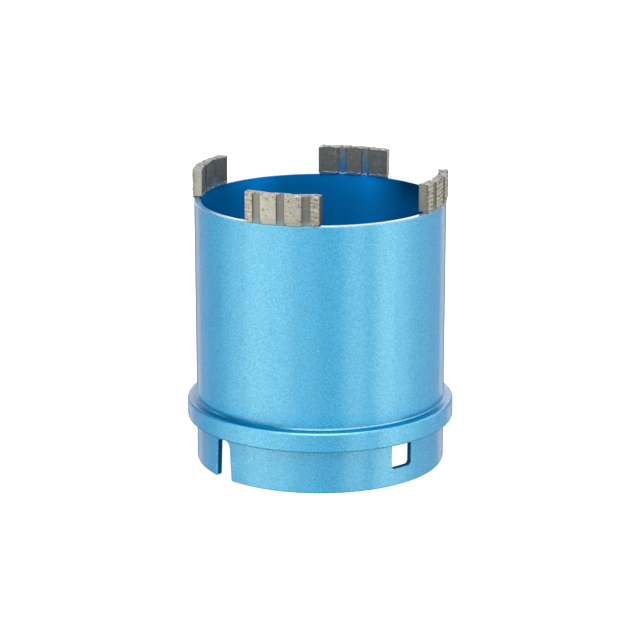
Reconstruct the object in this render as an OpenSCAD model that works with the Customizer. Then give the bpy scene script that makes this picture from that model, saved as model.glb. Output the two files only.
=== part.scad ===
// Core drill bit with four cutting segments, standing on its open foot.
// Millimetres. Z is the drilling axis and points at the cutting face; the foot lies at z = 0.
// The two drive notches face -Y and +Y, the two windows face -X and +X.

/* [Barrel] */
// Outside diameter of the steel tube
barrel_od = 81; // [70:0.5:100]
// Wall thickness of the tube
barrel_wall = 2.2; // [1.6:0.1:3]
// Length of the tube from its open foot to the rim that carries the segments
barrel_h = 86; // [60:1:140]
// Chamfer that leads into the bore at the foot
bore_lead_in = 0.5; // [0.2:0.1:0.8]
// Chamfer that breaks the tube's other sharp edges
edge_break = 0.2; // [0.1:0.05:0.4]

/* [Drive openings] */
// Width of a drive notch at its open mouth
notch_mouth_w = 7.5; // [6:0.1:10]
// Width of a drive notch at its closed end, before its corners are rounded
notch_end_w = 6; // [4.6:0.1:8]
// Corner radius at the closed end of a drive notch
notch_r = 2.2; // [0.5:0.1:2.2]
// Wall left between a drive notch and the underside of the stop ring
notch_to_ring = 1.4; // [0.4:0.1:4]
// Width of a window
window_w = 8.2; // [5:0.1:12]
// Height of a window's sill above the foot
window_sill = 5.6; // [3:0.1:7]
// Wall left between a window and the underside of the stop ring
window_to_ring = 0.2; // [0.1:0.1:3]
// Corner radius of a window
window_r = 1.2; // [0.4:0.1:1.4]

/* [Stop ring] */
// How far the ring stands out from the tube
ring_proud = 3; // [1.5:0.1:6]
// Height of the ring along the axis
ring_h = 6.2; // [4:0.1:12]
// Height of the ring's underside above the foot
ring_foot = 14.4; // [13:0.1:25]
// Radius on the ring's outer edge that faces the segments
ring_top_r = 0.8; // [0.2:0.1:1.2]
// Radius on the ring's outer edge that faces the foot
ring_foot_r = 0.3; // [0.1:0.1:0.8]
// Clearance between the tube and the ring that is slid over it
ring_fit = 0.05; // [0.02:0.01:0.15]
// Leg of the braze fillet in the corner between ring and tube
braze_leg = 0.8; // [0.4:0.1:1.2]

/* [Segments] */
// Length of a segment between its two flat ends
segment_l = 24; // [18:0.5:30]
// Height of a segment above the rim
segment_h = 9.7; // [6:0.1:14]
// How far the lands of a segment stand out past the tube on either side
land_proud = 0.5; // [0.3:0.05:0.9]
// Width of the three grooves in the outer face
outer_groove_w = 2.6; // [1.5:0.1:4]
// Width of the two grooves in the inner face
inner_groove_w = 2.8; // [1.5:0.1:4]
// How far an outer land still stands out at its lower end
land_foot_proud = 0.25; // [0.1:0.05:0.3]
// Height over which an outer land runs out to its full stand-out
land_taper_h = 2; // [0.5:0.1:3]
// Radius on the lower corner of a land at its leading side
land_lead_r = 1.1; // [0.3:0.1:1.2]
// Radius on the lower corner of a land at its trailing side
land_trail_r = 0.4; // [0.2:0.1:1.2]
// Radius on the long edges of the cutting face
cutting_edge_r = 0.4; // [0.1:0.05:0.6]
// Height of the weld seam between rim and segment
seam_h = 0.8; // [0.4:0.1:1.5]
// How far the seam ends short of a segment's flat ends
seam_inset = 0.3; // [0.1:0.1:1]
// How far the root of the seam, which is welded from outside, lies behind the tube's inner face
seam_root_inset = 0.4; // [0.1:0.05:0.8]
// Turn of the first segment past the front drive notch, in degrees
segment_turn = 32.5; // [0:0.5:89.5]

/* [Hidden] */
$fn = 128;
// Number of segments around the rim, and of grooves in the faces of each
segment_count = 4;
outer_groove_count = 3;
inner_groove_count = 2;
// Radii of the tube, the ring and the lands
barrel_r = barrel_od / 2;
bore_r = barrel_r - barrel_wall;
ring_r = barrel_r + ring_proud;
land_outer_r = barrel_r + land_proud;
land_inner_r = bore_r - land_proud;
wall_mid_r = (barrel_r + bore_r) / 2;
// Heights of the ring, the openings and the segments
ring_top = ring_foot + ring_h;
notch_h = ring_foot - notch_to_ring;
window_h = ring_foot - window_to_ring - window_sill;
seam_top = barrel_h + seam_h;
cutting_face = barrel_h + segment_h;
// The outer grooves part a segment's length into equal shares
groove_pitch = segment_l / outer_groove_count;
// Overshoot of a cutting shape past what it cuts
over = 1;
paint_blue = [0.36, 0.68, 0.84];
segment_grey = [0.66, 0.66, 0.61];
seam_brown = [0.42, 0.38, 0.36];

// What a convex corner of radius r loses: the corner lies at the origin, the body in +X +Y
module corner_loss(r) {
  difference() {
    translate([-over, -over]) square(r + over);
    translate([r, r]) circle(r);
  }
}

// Stands an outline in X and Z up as a prism, from one depth in -Y to another
module upright(from_y, to_y) {
  translate([0, -from_y, 0]) rotate([90, 0, 0]) linear_extrude(to_y - from_y) children();
}

// Carries a shape made at the front, facing -Y, round to the place of segment k
module at_segment(k) {
  rotate([0, 0, segment_turn + (k - 1) * 360 / segment_count]) children();
}

// Where land i starts and ends along the segment, between n grooves of width w; i counts from 0
function land_start(i, n, w) = i == 0 ? -segment_l / 2 : (i - (n + 1) / 2) * groove_pitch + w / 2;
function land_end(i, n, w) = i == n ? segment_l / 2 : (i - (n - 1) / 2) * groove_pitch - w / 2;

// Tapered notch outline, with its mouth at the foot and round corners at its closed end
module notch_outline() {
  mouth = notch_mouth_w / 2;
  end = notch_end_w / 2;
  lean = atan((mouth - end) / notch_h);
  flare = over * tan(lean);
  reach = notch_r + over;
  difference() {
    polygon([[-mouth - flare, -over], [mouth + flare, -over], [end, notch_h], [-end, notch_h]]);
    for (side = [-1, 1])
      scale([side, 1])
        translate([end - notch_r / tan(45 + lean / 2), notch_h - notch_r])
          difference() {
            polygon([[0, 0], [reach * cos(lean), reach * sin(lean)], [reach, reach], [0, reach]]);
            circle(notch_r);
          }
  }
}

// Window outline: a rectangle with four round corners
module window_outline() {
  difference() {
    translate([-window_w / 2, window_sill]) square([window_w, window_h]);
    for (side = [-1, 1], up = [-1, 1])
      translate([side * window_w / 2, window_sill + (up + 1) / 2 * window_h])
        scale([-side, -up]) corner_loss(window_r);
  }
}

// Tube in one piece from foot to rim, open at both ends
module barrel() {
  color(paint_blue)
    difference() {
      rotate_extrude()
        polygon([[bore_r + bore_lead_in, 0], [barrel_r - edge_break, 0], [barrel_r, edge_break],
                 [barrel_r, barrel_h - edge_break], [barrel_r - edge_break, barrel_h],
                 [bore_r + edge_break, barrel_h], [bore_r, barrel_h - edge_break],
                 [bore_r, bore_lead_in]]);
      upright(-ring_r, ring_r) notch_outline();
      rotate([0, 0, 90]) upright(-ring_r, ring_r) window_outline();
    }
}

// Collar that stops the drill on its adapter, slid over the tube and brazed
module stop_ring() {
  color(paint_blue)
    rotate_extrude()
      difference() {
        translate([barrel_r + ring_fit, ring_foot]) square([ring_proud - ring_fit, ring_h]);
        translate([ring_r, ring_foot]) scale([-1, 1]) corner_loss(ring_foot_r);
        translate([ring_r, ring_top]) scale([-1, -1]) corner_loss(ring_top_r);
      }
}

// Fillet of braze metal on the ring's upper face, round the tube
module ring_braze() {
  color(paint_blue)
    rotate_extrude()
      translate([barrel_r, ring_top]) polygon([[0, 0], [braze_leg, 0], [0, braze_leg]]);
}

// Section of the wall-thick core of a segment, above the seam
module core_section() {
  translate([bore_r, seam_top]) square([barrel_wall, cutting_face - seam_top]);
}

// Section of an outer land: it reaches into the core, hangs past the seam and tapers at its foot
module outer_land_section() {
  difference() {
    polygon([[wall_mid_r, seam_top], [barrel_r, seam_top], [barrel_r, barrel_h],
             [barrel_r + land_foot_proud, barrel_h], [land_outer_r, barrel_h + land_taper_h],
             [land_outer_r, cutting_face], [wall_mid_r, cutting_face]]);
    translate([land_outer_r, cutting_face]) scale([-1, -1]) corner_loss(cutting_edge_r);
  }
}

// Section of an inner land: it reaches into the core and hangs past the seam
module inner_land_section() {
  difference() {
    polygon([[wall_mid_r, seam_top], [wall_mid_r, cutting_face], [land_inner_r, cutting_face],
             [land_inner_r, barrel_h], [bore_r, barrel_h], [bore_r, seam_top]]);
    translate([land_inner_r, cutting_face]) scale([1, -1]) corner_loss(cutting_edge_r);
  }
}

// Outline of the land from x0 to x1, with a radius on each lower corner
module land_outline(x0, x1) {
  difference() {
    translate([x0, barrel_h]) square([x1 - x0, segment_h + over]);
    translate([x0, barrel_h]) corner_loss(land_lead_r);
    translate([x1, barrel_h]) scale([-1, 1]) corner_loss(land_trail_r);
  }
}

// The lands of one face that has n grooves of width w; the children are a land's section
module lands(n, w) {
  for (i = [0 : n])
    intersection() {
      rotate_extrude() children();
      upright(0, land_outer_r + over) land_outline(land_start(i, n, w), land_end(i, n, w));
    }
}

// Sintered cutting segment: a core in line with the tube's wall, and lands on both faces
module segment(k) {
  color(segment_grey)
    at_segment(k)
      union() {
        intersection() {
          rotate_extrude() core_section();
          upright(0, land_outer_r + over)
            translate([-segment_l / 2, barrel_h]) square([segment_l, segment_h + over]);
        }
        lands(outer_groove_count, outer_groove_w) outer_land_section();
        lands(inner_groove_count, inner_groove_w) inner_land_section();
      }
}

// Weld metal between the rim and segment k, flush with the tube's outer face
module weld_seam(k) {
  color(seam_brown)
    at_segment(k)
      intersection() {
        rotate_extrude()
          translate([bore_r + seam_root_inset, barrel_h])
            square([barrel_wall - seam_root_inset, seam_h]);
        upright(0, land_outer_r + over)
          translate([-segment_l / 2 + seam_inset, barrel_h - over])
            square([segment_l - 2 * seam_inset, seam_h + 2 * over]);
      }
}

barrel();
stop_ring();
ring_braze();
segment(1);  // segment_1
segment(2);  // segment_2
segment(3);  // segment_3
segment(4);  // segment_4
weld_seam(1);  // weld_seam_1
weld_seam(2);  // weld_seam_2
weld_seam(3);  // weld_seam_3
weld_seam(4);  // weld_seam_4
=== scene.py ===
"""Looks of the core drill bit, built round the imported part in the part's own frame.

The bit stands on its open foot and +Z points at the cutting face. Shapes are worked out in millimetres on
the unrolled tube: u runs round the outer face from the front drive notch, z runs up from the foot.
"""

import logging
import math
from dataclasses import dataclass
from enum import Enum

import bpy
import numpy as np
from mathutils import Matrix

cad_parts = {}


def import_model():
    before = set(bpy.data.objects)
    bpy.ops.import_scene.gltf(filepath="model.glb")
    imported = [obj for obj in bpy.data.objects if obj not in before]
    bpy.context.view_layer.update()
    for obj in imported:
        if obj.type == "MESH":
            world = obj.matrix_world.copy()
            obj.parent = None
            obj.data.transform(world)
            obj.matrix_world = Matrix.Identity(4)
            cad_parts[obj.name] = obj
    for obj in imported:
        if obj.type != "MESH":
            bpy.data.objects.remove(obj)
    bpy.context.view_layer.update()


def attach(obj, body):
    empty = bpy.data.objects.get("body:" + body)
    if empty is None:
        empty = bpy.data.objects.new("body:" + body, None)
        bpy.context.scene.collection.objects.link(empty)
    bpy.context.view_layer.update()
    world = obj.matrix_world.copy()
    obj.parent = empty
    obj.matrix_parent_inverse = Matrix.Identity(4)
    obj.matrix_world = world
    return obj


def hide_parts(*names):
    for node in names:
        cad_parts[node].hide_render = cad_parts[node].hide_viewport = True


log = logging.getLogger("core_drill_bit")
Array = np.ndarray
Colour = tuple[float, float, float]
Span = tuple[float, float]
Four = tuple[float, float, float, float]
Socket = bpy.types.NodeSocket
Inputs = dict[str | int, object]

MM = 0.001
# Stations of a rounded edge, as shares of its radius: close together where the arc turns fastest
LIP_SHARES = np.array([0.0, 0.04, 0.12, 0.25, 0.45, 0.7, 1.0])
# Points on a quarter circle
ARC_POINTS = 9
# The whole span of a share, and the middle of a noise's span, where most of its values lie
UNIT: Span = (0.0, 1.0)
MID: Span = (0.3, 0.7)
WHITE = (1.0, 1.0, 1.0, 1.0)


class Slot(Enum):
    """The record's material slots."""

    PAINT = "body_paint"
    SEGMENT = "segment_metal"
    WELD = "weld_metal"


class Face(Enum):
    """The two long faces of a cutting segment."""

    OUTER = 1
    INNER = -1


def linear(red: int, green: int, blue: int) -> Colour:
    """Turns a colour as seen on a screen into the linear values that shaders take.

    Args:
        red, green, blue: the screen values, from 0 to 255.

    Returns:
        Each value by the screen's own curve: a straight foot, then the power 2.4.
    """
    share = np.array([red, green, blue]) / 255
    curve = np.where(share <= 0.04045, share / 12.92, ((share + 0.055) / 1.055) ** 2.4)
    return tuple(float(x) for x in curve)


def smooth(x: Array) -> Array:
    """Rises from 0 at 0 to 1 at 1 with level ends: 3x^2 - 2x^3 of the clipped value."""
    x = np.clip(x, 0, 1)
    return x * x * (3 - 2 * x)


def mixed(share: Array, low: Array | Colour, high: Array | Colour) -> Array:
    """Blends two tints, or two rows of tints, by a share for each point."""
    return np.asarray(low) + (np.asarray(high) - np.asarray(low)) * share[:, None]


def quarter_round(d: Array, radius: float) -> Array:
    """How far a rounded edge has dropped at distance d from the edge: r - sqrt(r^2 - (r - d)^2)."""
    left = np.clip(radius - d, 0, radius)
    return radius - np.sqrt(radius**2 - left**2)


@dataclass(frozen=True)
class Grain:
    """Repeatable value noise in three dimensions, the same on every run."""

    seed: int

    def _corner(self, i: Array, j: Array, k: Array) -> Array:
        """Draws a number for each lattice corner: products with large odd numbers, folded on themselves.

        Args:
            i, j, k: the corner's whole numbers along the three axes.

        Returns:
            Numbers from 0 to 1.
        """
        draw = (i * 374761393 + j * 668265263 + k * 1442695041 + self.seed * 974711) & 0xFFFFFFFF
        draw = ((draw ^ (draw >> 13)) * 1274126177) & 0xFFFFFFFF
        return (draw ^ (draw >> 16)) / 0xFFFFFFFF

    def value(self, x: Array, y: Array, z: Array) -> Array:
        """Noise with bumps one unit apart: corner values blended by smooth steps along each axis.

        Args:
            x, y, z: the places.

        Returns:
            Values from -1 to 1.
        """
        x, y, z = np.broadcast_arrays(x, y, z)
        low = [np.floor(q).astype(np.int64) for q in (x, y, z)]
        fx, fy, fz = (smooth(q - f) for q, f in zip((x, y, z), low))
        total = np.zeros(x.shape)
        for corner in range(8):
            a, b, c = corner & 1, corner >> 1 & 1, corner >> 2
            weight = (fx if a else 1 - fx) * (fy if b else 1 - fy) * (fz if c else 1 - fz)
            total = total + weight * self._corner(low[0] + a, low[1] + b, low[2] + c)
        return total * 2 - 1

    def layered(self, x: Array, y: Array, z: Array, layers: int = 3) -> Array:
        """Noise with finer noise on top: each layer has twice the detail and half the height."""
        total = sum(self.value(x * 2**n, y * 2**n, z * 2**n + 17 * n) * 0.5**n for n in range(layers))
        return total / (2 - 0.5 ** (layers - 1))


@dataclass
class Shell:
    """A closed skin while it is being made: points in millimetres and rows of four point numbers."""

    points: Array
    quads: Array

    def azimuth(self) -> Array:
        """Azimuth of each point in degrees, from -180 to 180, with the front drive notch at 0."""
        return np.degrees(np.arctan2(self.points[:, 0], -self.points[:, 1]))

    def normals(self) -> Array:
        """Works out normals: the sum of a point's area vectors, each half the product of the diagonals.

        Returns:
            The unit normal of each point.
        """
        p = self.points[self.quads]
        area = np.cross(p[:, 2] - p[:, 0], p[:, 3] - p[:, 1])
        total = np.zeros_like(self.points)
        for corner in range(4):
            np.add.at(total, self.quads[:, corner], area)
        return total / np.maximum(np.linalg.norm(total, axis=1, keepdims=True), 1e-12)


def sheet_quads(numbers: Array) -> Array:
    """The faces between neighbours of a rectangular table of point numbers.

    Args:
        numbers: table whose rows and then columns turn round the outward normal like a right hand.

    Returns:
        One row of four numbers a face.
    """
    corners = (numbers[:-1, :-1], numbers[1:, :-1], numbers[1:, 1:], numbers[:-1, 1:])
    return np.stack([c.ravel() for c in corners], axis=1)


def block_skin(a: Array, b: Array, c: Array) -> tuple[Array, Array]:
    """The skin of a block that is divided at given stations along its three edges.

    Args:
        a, b, c: rising stations along three edges that form a right-handed set.

    Returns:
        The skin's points as (a, b, c) triples, and its faces. Six sheets share their border points.
    """
    table = np.arange(len(a) * len(b) * len(c)).reshape(len(a), len(b), len(c))
    sheets = (table[-1], table[0].T, table[:, -1].T, table[:, 0], table[:, :, -1], table[:, :, 0].T)
    quads = np.concatenate([sheet_quads(s) for s in sheets])
    used, numbers = np.unique(quads, return_inverse=True)
    i, j, k = np.unravel_index(used, table.shape)
    return np.stack([a[i], b[j], c[k]], axis=1), numbers.reshape(quads.shape)


def revolved(profile: Array, around: int) -> Shell:
    """A closed profile carried round the drilling axis.

    Args:
        profile: (radius, height) points in millimetres, anticlockwise as seen with radius to the right.
        around: number of stations on the circle.

    Returns:
        The ring: the point at angle t is (r sin t, -r cos t, z).
    """
    turn = np.linspace(0, 2 * np.pi, around, endpoint=False)[:, None]
    r, z = profile[:, 0][None], profile[:, 1][None]
    points = np.stack([r * np.sin(turn), -r * np.cos(turn), z + 0 * turn], axis=2).reshape(-1, 3)
    table = np.arange(around * len(profile)).reshape(around, len(profile))
    table = np.pad(table, ((0, 1), (0, 1)), mode="wrap")
    return Shell(points, sheet_quads(table))


def stations(low: float, high: float, step: float, anchors: Array, near: Array) -> Array:
    """Rising stations with an even step, and closer ones round places where the shape turns.

    Args:
        low, high: the two ends, which are kept.
        step: the even step.
        anchors: the places.
        near: offsets round each place.

    Returns:
        The stations, none closer than a fortieth of a millimetre to the one before.
    """
    even = np.linspace(low, high, int(round((high - low) / step)) + 1)
    fine = (np.asarray(anchors)[:, None] + np.asarray(near)[None]).ravel()
    keep_off = np.abs(even[:, None] - fine[None]).min(axis=1) > 0.04
    keep_off[[0, -1]] = True
    joined = np.sort(np.concatenate([even[keep_off], fine[(fine > low + 0.02) & (fine < high - 0.02)]]))
    return joined[np.concatenate([[True], np.diff(joined) > 0.025])]


@dataclass(frozen=True)
class RoundAxis:
    """A value that changes round the drilling axis, along straight lines between (azimuth, value) marks."""

    marks: tuple[Span, ...]

    def at(self, azimuth: Array) -> Array:
        """The value at each azimuth, in degrees."""
        return np.interp(azimuth, *np.transpose(self.marks))


# How much painted shade lies in the corners round the stop ring at each azimuth
CORNER_SHADE_SHARE = RoundAxis(
    ((-180, 0.7), (-50, 0.8), (-28, 0.92), (-5, 1.0), (85, 1.0), (112, 0.9), (130, 0.7), (180, 0.7)))
# How much darker that painted shade makes the paint: most on the left of the side the camera faces
CORNER_SHADE_DEPTH = RoundAxis(
    ((-30, 0.14), (-8, 0.35), (10, 0.35), (24, 0.125), (85, 0.11), (95, 0.23), (115, 0.14)))


@dataclass(frozen=True)
class Bench:
    """Places and joins the nodes of one material."""

    tree: bpy.types.NodeTree

    def feed(self, node: bpy.types.Node, inputs: Inputs) -> None:
        """Fills a node's sockets.

        Args:
            node: the node.
            inputs: for each socket a value, or the socket that feeds it.
        """
        for key, value in inputs.items():
            if isinstance(value, Socket):
                self.tree.links.new(value, node.inputs[key])
            else:
                node.inputs[key].default_value = value

    def add(self, kind: str, inputs: Inputs, output: str | int = 0, **settings: object) -> Socket:
        """Adds a node.

        Args:
            kind: the node's type.
            inputs: what fills its sockets.
            output: which of its outputs is wanted.
            settings: the node's own properties.

        Returns:
            The output.
        """
        node = self.tree.nodes.new(kind)
        for name, value in settings.items():
            setattr(node, name, value)
        self.feed(node, inputs)
        return node.outputs[output]

    def place(self) -> Socket:
        """The point's place in metres, on the part's own axes."""
        return self.add("ShaderNodeTexCoord", {}, "Object")

    def noise(self, where: Socket, grain_mm: float, detail: float = 2.0) -> Socket:
        """Soft noise from 0 to 1 whose grains are grain_mm apart."""
        inputs = {"Vector": where, "Scale": 1 / (grain_mm * MM), "Detail": detail, "Roughness": 0.6}
        return self.add("ShaderNodeTexNoise", inputs, "Fac")

    def cells(self, where: Socket, cell_mm: float) -> tuple[Socket, Socket, Socket, Socket]:
        """Divides space into cells at random.

        Args:
            where: the place.
            cell_mm: how wide a cell is.

        Returns:
            The distance to the cell's middle, the cell's own colour, and two random values of that colour.
        """
        inputs = {"Vector": where, "Scale": 1 / (cell_mm * MM)}
        distance = self.add("ShaderNodeTexVoronoi", inputs, "Distance")
        colour = distance.node.outputs["Color"]
        first = self.add("ShaderNodeSeparateColor", {0: colour})
        return distance, colour, first, first.node.outputs[1]

    def spread(self, value: Socket, span: Span, to: Span = UNIT) -> Socket:
        """Carries a value from one span to another, clipped at its ends."""
        sockets = ("Value", "From Min", "From Max", "To Min", "To Max")
        return self.add("ShaderNodeMapRange", dict(zip(sockets, (value, *span, *to))), "Result")

    def fade(self, share: Socket, start: float, end: float) -> Socket:
        """A value that goes from start to end as a share goes from 0 to 1."""
        return self.spread(share, UNIT, (start, end))

    def calc(self, kind: str, a: object, b: object) -> Socket:
        """The result of one step of arithmetic on two values or sockets."""
        return self.add("ShaderNodeMath", {0: a, 1: b}, operation=kind)

    def times(self, a: object, b: object) -> Socket:
        """The product of two values or sockets."""
        return self.calc("MULTIPLY", a, b)

    def vector(self, kind: str, *inputs: object) -> Socket:
        """The result of one step of arithmetic on vectors or colours."""
        return self.add("ShaderNodeVectorMath", dict(enumerate(inputs)), operation=kind)

    def shade(self, colour: Socket, brightness: Socket) -> Socket:
        """Makes a colour brighter or darker: its three values times one number."""
        return self.vector("MULTIPLY", colour, brightness)

    def blend(self, share: Socket, a: Socket | Colour, b: Socket | Colour) -> Socket:
        """Blends colour a towards colour b by a share."""
        a, b = ((*colour, 1.0) if isinstance(colour, tuple) else colour for colour in (a, b))
        return self.add("ShaderNodeMix", {"Factor": share, 6: a, 7: b}, 2, data_type="RGBA")

    def layer(self, name: str, output: str = "Fac") -> Socket:
        """A value or colour that the mesh carries at its points."""
        return self.add("ShaderNodeAttribute", {}, output, attribute_name=name)

    def bump(self, height: Socket, strength: object, depth_mm: float, more: Inputs) -> Socket:
        """Bends the shading by a height from 0 to 1 that stands for depth_mm."""
        inputs = {"Height": height, "Strength": strength, "Distance": depth_mm * MM}
        return self.add("ShaderNodeBump", inputs | more)

    def camera_ray(self) -> Socket:
        """1 for what the camera sees straight on, and 0 for what lights or mirrors."""
        return self.add("ShaderNodeLightPath", {}, "Is Camera Ray")


@dataclass(frozen=True)
class Finish:
    """What every finish has: a name, and nodes that fill the sockets of the main shader."""

    name: str = "plain"

    def looks(self, bench: Bench) -> Inputs:
        """Places the finish's nodes and says what fills the main shader's sockets."""
        return {}

    def build(self) -> bpy.types.Material:
        """Makes the material.

        Returns:
            The material, with its main shader fed by the finish's nodes.
        """
        material = bpy.data.materials.new(self.name)
        material.use_nodes = True
        bench = Bench(material.node_tree)
        bench.feed(material.node_tree.nodes["Principled BSDF"], self.looks(bench))
        return material


@dataclass(frozen=True)
class FlakePaint(Finish):
    """Blue paint with fine metal flakes under a clear coat, on the tube and the stop ring.

    A flake's brightness swings by its own random value, and its normal leans by its own random colour.
    """

    name: str = "flake_paint"
    base: Colour = (0.004, 0.372, 0.735)
    deep: Colour = (0.004, 0.360, 0.715)
    # inner: darker blue, painted shade on the cut walls and partly on the bore; pale: painted highlight;
    # matt: painted shade
    inner: Colour = (0.001, 0.198, 0.535)
    pale: Colour = (0.230, 0.520, 0.780)
    matt: Colour = (0.001, 0.225, 0.460)
    flake_gloss: float = 1.0
    flake_tint: Colour = (0.53, 1.0, 0.87)
    slant_tint: Colour = (0.76, 0.38, 0.50)
    slant_span: Span = (0.42, 0.78)
    flake_ior: float = 2.0
    coat: float = 0.90
    coat_roughness: float = 0.20
    roughness: float = 0.34
    roughness_swing: float = 0.03
    drift_mm: float = 14.0
    flake_mm: float = 0.24
    flake_swing: float = 0.30
    inner_swing: float = 0.08
    flake_tilt: float = 0.07
    clump_mm: float = 0.9
    clump_swing: float = 0.015
    peel_mm: float = 1.3
    peel_depth_mm: float = 0.003
    peel_strength: float = 0.5

    def looks(self, bench: Bench) -> Inputs:
        """Flakes change brightness and tilt, and a faint orange peel bends the gloss.

        The mesh layer "inside" turns the paint into a darker matt blue on the bore and the cut walls: painted
        shade on the walls, partly so on the bore. "pale" turns it into a painted highlight on the rim's upper
        face and the stop ring's edges. The layer "still" takes the gloss away in the corners round the stop
        ring and paints shade there, and "tone" is added to the brightness as painted light and shade.

        Args:
            bench: where the nodes are placed.

        Returns:
            What fills the main shader's sockets.
        """
        where, inside, still = bench.place(), bench.layer("inside"), bench.layer("still")
        _, flake, first, second = bench.cells(where, self.flake_mm)
        colour = bench.blend(bench.spread(bench.noise(where, self.drift_mm, 1.0), MID), self.base, self.deep)
        # Painted light and shade: a painted highlight (pale), darker blue partly painted shade (inside),
        # painted shade (still)
        for share, film in ((bench.layer("pale"), self.pale), (inside, self.inner), (still, self.matt)):
            colour = bench.blend(share, colour, film)
        colour = bench.shade(colour, bench.calc("ADD", 1.0, bench.layer("tone")))
        swing = bench.fade(inside, self.flake_swing, self.inner_swing)
        glint = bench.calc("ADD", 1.0, bench.times(bench.fade(first, -1.0, 1.0), swing))
        clumps = bench.noise(where, self.clump_mm, 1.0)
        clumps = bench.spread(clumps, MID, (1 - self.clump_swing, 1 + self.clump_swing))
        slant = bench.add("ShaderNodeLayerWeight", {}, "Facing")
        gloss_tint = bench.blend(bench.spread(slant, self.slant_span), self.flake_tint, self.slant_tint)
        lean = bench.vector("SUBTRACT", flake, (0.5, 0.5, 0.5))
        lean = bench.vector("MULTIPLY", lean, (self.flake_tilt,) * 3)
        lean = bench.vector("ADD", bench.add("ShaderNodeNewGeometry", {}, "Normal"), lean)
        peel = bench.noise(where, self.peel_mm, 1.0)
        dull = bench.calc("MAXIMUM", inside, still)
        return {
            "Base Color": bench.shade(colour, bench.times(glint, clumps)),
            "Roughness": bench.fade(second, self.roughness - self.roughness_swing,
                                    self.roughness + self.roughness_swing),
            "Normal": bench.bump(peel, self.peel_strength, self.peel_depth_mm,
                                 {"Normal": bench.vector("NORMALIZE", lean)}),
            "Specular IOR Level": bench.fade(dull, self.flake_gloss, 0.0),
            "Coat Weight": bench.fade(dull, self.coat, 0.0),
            "Specular Tint": bench.shade(gloss_tint, glint),
            "IOR": self.flake_ior,
            "Coat Roughness": self.coat_roughness,
        }


@dataclass(frozen=True)
class SinteredMetal(Finish):
    """Ground sintered metal: tinted by the mesh, with grain, grinding streaks, dark pores and stray paint."""

    name: str = "sintered_metal"
    pore: Colour = (0.060, 0.055, 0.050)
    glitter: Colour = (0.80, 0.79, 0.76)
    metallic: float = 0.60
    roughness: float = 0.46
    grit_roughness: float = 0.16
    grain_mm: float = 0.26
    grain_depth_mm: float = 0.07
    mottle_mm: float = 1.04
    streak_mm: float = 0.24
    streak_stretch: float = 0.07
    pore_mm: float = 0.95
    crumb_mm: float = 0.72
    most_paint: float = 0.86

    def looks(self, bench: Bench) -> Inputs:
        """Places grain and streaks, then pores, dark and light crumbs, and stray paint on top.

        The layers grit, pores, specks and spray say how strong each effect is, and the layers tint and stray
        hold the metal's and the paint's colours.

        Args:
            bench: where the nodes are placed.

        Returns:
            What fills the main shader's sockets.
        """
        where, grit = bench.place(), bench.layer("grit")
        grain = bench.noise(where, self.grain_mm, 3.0)
        mottle = bench.noise(where, self.mottle_mm)
        unrolled = bench.add("ShaderNodeUVMap", {}, "UV", uv_map="unrolled")
        along = bench.add("ShaderNodeMapping", {"Vector": unrolled, "Scale": (self.streak_stretch, 1.0, 1.0)})
        streak = bench.noise(along, self.streak_mm)
        rough = bench.spread(grain, (0.32, 0.68), (0.66, 1.30))
        rough = bench.times(rough, bench.spread(mottle, MID, (0.84, 1.14)))
        fine = bench.times(bench.spread(streak, MID, (0.86, 1.10)), bench.spread(grain, MID, (0.93, 1.06)))
        shade = bench.add("ShaderNodeMix", {"Factor": grit, 2: fine, 3: rough}, data_type="FLOAT")
        colour = bench.shade(bench.layer("tint", "Color"), shade)
        distance, _, pick, _ = bench.cells(where, self.pore_mm)
        hole = bench.times(bench.spread(distance, (0.12, 0.26), (1.0, 0.0)), bench.spread(pick, (0.66, 0.72)))
        colour = bench.blend(bench.times(hole, bench.layer("pores")), colour, self.pore)
        distance, _, first, second = bench.cells(where, self.crumb_mm)
        crumb = bench.times(bench.spread(distance, (0.22, 0.48), (1.0, 0.0)), bench.layer("specks"))
        dark = bench.times(crumb, bench.spread(first, (0.60, 0.70), (0.0, 0.8)))
        light = bench.times(crumb, bench.spread(second, (0.72, 0.80), (0.0, 0.7)))
        colour = bench.blend(light, bench.blend(dark, colour, self.pore), self.glitter)
        wet = bench.calc("ADD", bench.layer("spray"), bench.spread(mottle, MID, (-0.16, 0.16)))
        wet = bench.spread(wet, (0.12, 0.95), (0.0, self.most_paint))
        paint = bench.shade(bench.layer("stray", "Color"), bench.spread(grain, (0.35, 0.65), (0.75, 1.3)))
        return {
            "Base Color": bench.blend(wet, colour, paint),
            "Roughness": bench.fade(grit, self.roughness, self.roughness + self.grit_roughness),
            "Normal": bench.bump(grain, bench.fade(grit, 0.2, 0.9), self.grain_depth_mm, {}),
            "Metallic": bench.spread(wet, (0.0, self.most_paint), (self.metallic, 0.0)),
        }


@dataclass(frozen=True)
class HeatTint(Finish):
    """Weld metal with the brown and grey film that heat leaves; its spatter is silvery."""

    name: str = "heat_tint"
    brown: Colour = (0.110, 0.078, 0.066)
    grey: Colour = (0.330, 0.290, 0.280)
    silver: Colour = (0.420, 0.560, 0.660)
    metallic: float = 0.35
    roughness: Span = (0.32, 0.54)
    patch_mm: float = 1.1
    ripple_mm: float = 0.45
    ripple_depth_mm: float = 0.08

    def looks(self, bench: Bench) -> Inputs:
        """Brown and grey patches and ripples, and silver where the layer "bright" is 1.

        Args:
            bench: where the nodes are placed.

        Returns:
            What fills the main shader's sockets.
        """
        where = bench.place()
        patches = bench.noise(where, self.patch_mm, 3.0)
        colour = bench.blend(bench.spread(patches, (0.36, 0.64)), self.brown, self.grey)
        return {
            "Base Color": bench.blend(bench.layer("bright"), colour, self.silver),
            "Roughness": bench.spread(patches, MID, self.roughness),
            "Normal": bench.bump(bench.noise(where, self.ripple_mm), 0.6, self.ripple_depth_mm, {}),
            "Metallic": self.metallic,
        }


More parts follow.
